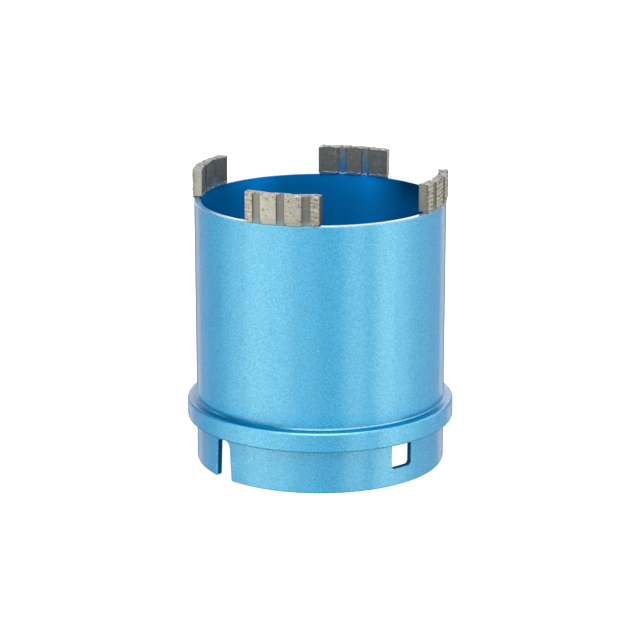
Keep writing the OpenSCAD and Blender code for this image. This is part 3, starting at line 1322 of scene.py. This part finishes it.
    def tints(self, s: Array, z: Array, w: Array, on_outer: Array, on_inner: Array, height: Array,
              pit: Array) -> dict[str, Array]:
        """Colour with painted light and shade, grit, pores and stray paint over the segment's skin.

        Args:
            s, z, w: places on the block.
            on_outer, on_inner: how much of a land of each face a point is on.
            height: the relief's height.
            pit: how deep in a pit each point is.

        Returns:
            The layers by name.
        """
        grain, hue = Grain(self.number * 91), self.hue
        above = z - self.rim
        rough = smooth(self.land_value(s, self.wear.ridges) / 0.06)
        from_end, inward = np.abs(s) - self.half, smooth(-w / 0.6)
        warm = smooth(grain.layered(s / 1.5, z / 0.9, 0) * 1.8 - 0.25) * (0.25 + 0.3 * rough)
        land = mixed(rough, hue.land, hue.rough_land)
        land = mixed(warm, land, hue.pink)
        # Painted highlight on the ridge crests, and painted shade in the troughs and pits
        land = land * (1 + np.clip(height * 5.5, -0.62, 0.30) - 0.6 * pit)[:, None]
        # Painted shadow: a dark line along the foot of the outer lands
        land = land * (1 - 0.6 * np.exp(-np.maximum(above, 0) / 0.10))[:, None]
        # Painted shade in the outer grooves
        shade = self.groove_shade(s, Face.OUTER) * (1 - on_outer) + on_outer
        # Painted shade: a dark outline along the borders of the outer lands
        shade = shade * (1 - 1.7 * on_outer * (1 - on_outer))
        # Painted light falling off along the segment, set by the tones
        shade = shade * np.interp(s, (-10, -4, 4, 10), self.wear.tones)
        outside = mixed(smooth(on_outer), hue.groove, land) * shade[:, None]
        # Painted shade in the inner grooves
        shade = self.groove_shade(s, Face.INNER) * (1 - on_inner) + on_inner
        shade = shade * (1 + 0.22 * grain.layered(s / 0.8, z / 0.8, 2))
        inside = mixed(smooth(on_inner), hue.inner_groove, hue.inner_land) * shade[:, None]
        colour = mixed(smooth(w / 2.4 + 0.5), inside, outside)
        at_end = smooth((from_end + 0.22) / 0.12) * smooth((1.54 - np.abs(w)) / 0.10)
        # End faces: one end darker as painted light and shade; darker towards the inner face and where the
        # land begins
        tone = np.where(s < 0, *self.wear.ends) * (1 + 0.06 * grain.layered(w / 0.7, z / 1.6, 4))
        tone = tone * (1 - 0.35 * smooth((-w - 1.1) / 0.3) - 0.26 * np.exp(-(((w - 1.15) / 0.14) ** 2)))
        colour = mixed(at_end, colour, np.array(hue.end) * tone[:, None])
        at_top = smooth((z + self.worn_top(s, z, w) - self.top + 0.16) / 0.12)
        speck = 1 - 0.7 * smooth(grain.layered(s / 0.6, w / 0.9, 9) * 2.4 - 0.3)
        speck = speck - 0.3 * self.groove_mouth(s, w)
        speck = speck + 0.22 * smooth(grain.layered(s / 0.7, w / 0.8, 12) * 2.4 - 0.2)
        colour = mixed(at_top, colour, np.array(hue.top) * speck[:, None])
        burnt = smooth((from_end + 0.7) / 0.5) * smooth(1.2 - above / 0.9)
        colour = mixed(0.8 * burnt, colour, hue.burnt)
        foot = np.where(w > 0, np.where(on_outer > 0.5, 0.25, 1.9),
                        np.where(on_inner > 0.5, 1.0, self.wear.inner_spray))
        patch = np.where(w < 0, 1.0, 0.62) + 0.45 * grain.layered(s / 1.1, z / 1.6, 6)
        spray = np.clip((1 - smooth((above - foot * 0.3) / (foot * 0.9))) * patch, 0, 1)
        spray = np.maximum(spray, 0.22 * inward * (1 - smooth((above - 1) / 4))) * (1 - at_end)
        grit = np.maximum(at_top, rough * on_outer * smooth(w / 1.2))
        grit = np.maximum(grit, 0.5 * smooth(-w / 1.2) * (1 - at_end))
        pores = np.where(w > 1.0, on_outer * (1 - 0.5 * rough), 0.25) * (1 - at_end)
        specks = np.maximum(0.9 * at_top, np.where(w > 1.0, 0.55 * rough * on_outer, 0.0))
        specks = np.maximum(specks, self.wear.inner_specks * inward * (1 - at_end))
        return {"tint": colour, "stray": mixed(inward, hue.stray, self.wear.stray), "grit": grit,
                "pores": np.maximum(pores, at_top * 0.9), "specks": specks, "spray": spray}

    def bent(self, s: Array, radial: Array, z: Array) -> Array:
        """Bends places to the tube and turns them to the segment's place on the rim.

        Args:
            s, radial, z: places along the segment, from the axis, and up.

        Returns:
            Points in the part's frame.
        """
        turn = math.radians(self.turn)
        across, along = math.sin(turn), math.cos(turn)
        y = -np.sqrt(np.maximum(radial**2 - s**2, 0))
        return np.stack([s * along - y * across, s * across + y * along, z], axis=1)

    def seam_shell(self) -> Shell:
        """The weld: a strip as wide as the wall less its root, ribbed by ripples and hollow in its sides.

        Returns:
            The skin.
        """
        along = np.linspace(-self.half + self.seam_inset, self.half - self.seam_inset, 90)
        up = np.linspace(self.rim, self.rim + self.seam, 6)
        through = np.linspace(self.tube_r - self.wall + self.seam_root, self.tube_r - 0.04, 7)
        raw, quads = block_skin(along, up, through)
        s, z, r = raw.T
        level = (z - self.rim) / self.seam
        middle = self.tube_r - self.wall / 2
        ripple = Grain(self.number * 13).layered(s / 0.7, z / 0.5, r / 0.5)
        waist = 1 - 0.10 * np.sin(np.pi * level) + 0.03 * ripple
        s = s * (1 - 0.012 * np.sin(np.pi * level)) + 0.05 * ripple
        return Shell(self.bent(s, middle + (r - middle) * waist, z), quads)

    def spatter(self) -> Shell:
        """Beads of weld metal in a broken line along the segment's inner foot, larger in the grooves.

        Each bead is a ball, stretched by its own three sizes and dented by noise. Its faces are turned over,
        because bending swaps inside and outside.

        Returns:
            All beads in one skin.
        """
        random = np.random.default_rng(self.number + 40)
        along = np.arange(-11.4, 11.5, self.bead_pitch)
        along = along[random.random(len(along)) < 0.85] + random.uniform(-0.15, 0.15, 1)
        _, on_land = self.depth(along, np.full_like(along, self.rim + 3), Face.INNER)
        grooved = np.repeat([[-4.3, -3.6, 3.6, 4.4]], 2, axis=0).ravel() + random.normal(0, 0.35, 8)
        places = np.concatenate([along, grooved])
        proud = np.concatenate([on_land * self.proud, np.zeros(8)])
        count, columns, rows = len(places), 12, 8
        turn = np.linspace(0, 2 * np.pi, columns, endpoint=False)
        tilt = np.linspace(-np.pi / 2 + 0.2, np.pi / 2 - 0.2, rows)
        ball = np.stack([np.outer(np.cos(tilt), np.cos(turn)), np.outer(np.cos(tilt), np.sin(turn)),
                         np.outer(np.sin(tilt), np.ones(columns))], axis=2).reshape(-1, 3)
        table = np.pad(np.arange(rows * columns).reshape(rows, columns), ((0, 0), (0, 1)), mode="wrap")
        steps = np.arange(1, columns // 2)
        cap = np.stack([steps, steps - 1, columns - steps, columns - 1 - steps], axis=1) % columns
        faces = np.concatenate([sheet_quads(table.T), cap, cap[:, ::-1] + (rows - 1) * columns])
        size = random.uniform(self.bead_low, self.bead_high, (count, 3))
        size[len(along):] *= 1.35
        level = self.rim + random.uniform(0.2, 0.7, count) + 0.45 * (proud > 0)
        middle = np.stack([places, self.tube_r - self.wall - proud - 0.02, level], axis=1)
        points = (ball[None] * size[:, None] + middle[:, None]).reshape(-1, 3)
        points = points + 0.04 * Grain(self.number * 17).value(*(points.T / 0.3))[:, None]
        quads = (faces[:, ::-1] + rows * columns * np.arange(count)[:, None, None]).reshape(-1, 4)
        return Shell(self.bent(*points.T), quads)

    def build(self, shop: Workshop) -> None:
        """Builds and dresses the segment, its seam and the seam's spatter.

        Args:
            shop: where the pieces are made.
        """
        shell, layers, unrolled = self.block()
        n = self.number
        shop.piece(f"cutting_segment_{n}", shell, Slot.SEGMENT, f"segment_{n}", layers, unrolled)
        seam, beads = self.seam_shell(), self.spatter()
        both = Shell(np.concatenate([seam.points, beads.points]),
                     np.concatenate([seam.quads, beads.quads + len(seam.points)]))
        bright = np.concatenate([np.zeros(len(seam.points)), np.ones(len(beads.points))])
        shop.piece(f"weld_bead_{n}", both, Slot.WELD, f"weld_seam_{n}", {"bright": bright})


@dataclass
class Crown:
    """The four segments on the rim. The front one's middle lands are ground smoother than the others."""

    turns: tuple[float, ...] = (32.5, 122.5, 212.5, 302.5)
    wear: tuple[Wear, ...] = (
        # Ends and tones paint light and shade: the front segment's high end and lands darker, the second's
        # low end
        Wear((0.05, 0.010, 0.014, 0.070), (0.10, 0.11, 0.11, 0.07), (1.0, 0.33), 2.4, 0.7,
             tones=(1.04, 0.88, 0.82, 0.80)),
        Wear((0.10, 0.12, 0.12, 0.09), (0.05, 0.05, 0.05, 0.04), (0.58, 1.0), 2.4, 1.3),
        Wear((0.06, 0.03, 0.02, 0.06), (0.08, 0.12, 0.12, 0.08), (1.1, 1.0), 7.5, 1.0, 0.3),
        Wear((0.17, 0.10, 0.08, 0.26), (0.06, 0.08, 0.08, 0.06), (1.0, 0.92), 4.0, 1.6,
             stray=linear(100, 144, 164)))

    def build(self, shop: Workshop) -> None:
        """Builds the four segments.

        Args:
            shop: where the pieces are made.
        """
        for n, (turn, wear) in enumerate(zip(self.turns, self.wear), start=1):
            Segment(n, turn, wear).build(shop)


@dataclass(frozen=True)
class PaleFloor(Finish):
    """A pale floor that glows a little to the camera, so that it is white where no shadow falls."""

    name: str = "pale_floor"
    tone: Span = (0.79, 0.81)
    patch_mm: float = 40.0
    glow: float = 0.92
    glow_reach: Span = (0.2, 1.0)
    roughness: float = 0.9

    def looks(self, bench: Bench) -> Inputs:
        """The tone drifts a little, and the glow grows to full white away from the part.

        Args:
            bench: where the nodes are placed.

        Returns:
            What fills the main shader's sockets.
        """
        tone = bench.spread(bench.noise(bench.place(), self.patch_mm), MID, self.tone)
        away = bench.vector("LENGTH", bench.place()).node.outputs["Value"]
        glow = bench.spread(away, self.glow_reach, (self.glow, 1.0))
        return {
            "Base Color": bench.add("ShaderNodeCombineColor", {0: tone, 1: tone, 2: tone}),
            "Emission Strength": bench.times(bench.camera_ray(), glow),
            "Emission Color": WHITE,
            "Roughness": self.roughness,
            "Specular IOR Level": 0.0,
        }


@dataclass
class Studio:
    """Camera, floor, backdrop, a ring of upright strip lights, and soft boxes above them.

    A strip is its azimuth past the camera's and its power. A soft box is the same azimuth, its elevation,
    its width and height in metres, and its power.
    """

    camera_place: tuple[float, float, float] = (0.55905, -0.46910, 0.24680)
    camera_azimuth: float = 50.0
    camera_elevation: float = 15.424
    lens_mm: float = 130.62
    sensor_mm: float = 36.0
    shift_x: float = -0.0004
    clip: Span = (0.01, 50.0)
    distance: float = 0.85
    middle_height: float = 0.05
    strip_size: Span = (0.26, 0.95)
    strip_elevation: float = -2.0
    strips: tuple[Span, ...] = (
        (-150, 0.62), (-130, 0.35), (-110, 0.26), (-90, 0.52), (-75, 0.68), (-60, 1.18), (-45, 0.92),
        (-30, 0.93), (-10, 0.62), (10, 0.30), (30, 1.02), (45, 0.35), (60, 1.32), (75, 0.78), (90, 0.58),
        (110, 0.46), (130, 0.35), (150, 0.65))
    boxes: tuple[tuple[float, float, float, float, float], ...] = (
        (0, 50, 0.7, 0.5, 3.2), (20, 82, 0.8, 0.5, 3.4), (180, 15, 1.0, 0.3, 2.2))
    floor_half: float = 4.0
    floor_drop: float = 0.0003

    def set_camera(self) -> None:
        """Sets the camera where the photograph was taken from."""
        data = bpy.data.cameras.new("photo_camera")
        data.lens, data.sensor_width, data.shift_x = self.lens_mm, self.sensor_mm, self.shift_x
        data.clip_start, data.clip_end = self.clip
        camera = hang("photo_camera", data)
        camera.location = self.camera_place
        tilt, turn = math.radians(90 - self.camera_elevation), math.radians(self.camera_azimuth)
        camera.rotation_euler = (tilt, 0.0, turn)
        bpy.context.scene.camera = camera

    def set_light(self, name: str, turn: float, elevation: float, size: Span, power: float) -> None:
        """Hangs a soft light that faces the part's middle.

        Args:
            name: the light's name.
            turn: its azimuth past the camera's, in degrees.
            elevation: its height as an angle from the part's middle.
            size: width and height in metres.
            power: watts.
        """
        data = bpy.data.lights.new(name, "AREA")
        data.shape, data.energy = "RECTANGLE", power
        data.size, data.size_y = size
        light = hang(name, data)
        a, e = math.radians(self.camera_azimuth + turn), math.radians(elevation)
        level = self.distance * math.cos(e)
        light.location = (level * math.sin(a), -level * math.cos(a),
                          self.middle_height + self.distance * math.sin(e))
        light.rotation_euler = (math.radians(90 - elevation), 0.0, a)
        light.visible_camera = False

    def set_world(self) -> None:
        """A backdrop that is white to the camera and gives no light of its own."""
        world = bpy.data.worlds.new("backdrop")
        world.use_nodes = True
        bpy.context.scene.world = world
        bench = Bench(world.node_tree)
        bench.feed(world.node_tree.nodes["Background"], {"Color": WHITE, "Strength": bench.camera_ray()})

    def set_floor(self) -> None:
        """Lays a wide pale floor.

        Gloss and shadow rays pass it, so the strip lights mirror in the upright walls down to the foot.
        """
        half, low = self.floor_half, -self.floor_drop
        mesh = bpy.data.meshes.new("studio_floor")
        mesh.from_pydata([(-half, -half, low), (half, -half, low), (half, half, low), (-half, half, low)], [],
                         [(0, 1, 2, 3)])
        mesh.materials.append(PaleFloor().build())
        floor = hang("studio_floor", mesh)
        floor.visible_glossy = False
        floor.visible_shadow = False

    def build(self) -> None:
        """Sets up the whole studio."""
        self.set_camera()
        self.set_world()
        self.set_floor()
        for turn, power in self.strips:
            self.set_light("strip_light", turn, self.strip_elevation, self.strip_size, power)
        for turn, elevation, width, height, power in self.boxes:
            self.set_light("soft_box", turn, elevation, (width, height), power)
        bpy.context.scene.view_settings.view_transform = "Standard"
        log.info("studio: camera, backdrop, floor and %d lights set", len(self.strips) + len(self.boxes))


def main() -> None:
    """Builds the part's looks piece by piece."""
    logging.basicConfig(level=logging.INFO, format="%(name)s: %(message)s")
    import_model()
    Studio().build()
    shop = Workshop({Slot.PAINT: FlakePaint().build(), Slot.SEGMENT: SinteredMetal().build(),
                     Slot.WELD: HeatTint().build()})
    for sub_assembly in (Tube(), StopRing(), Crown()):
        sub_assembly.build(shop)
    bpy.context.view_layer.update()


if __name__ == "__main__":
    main()
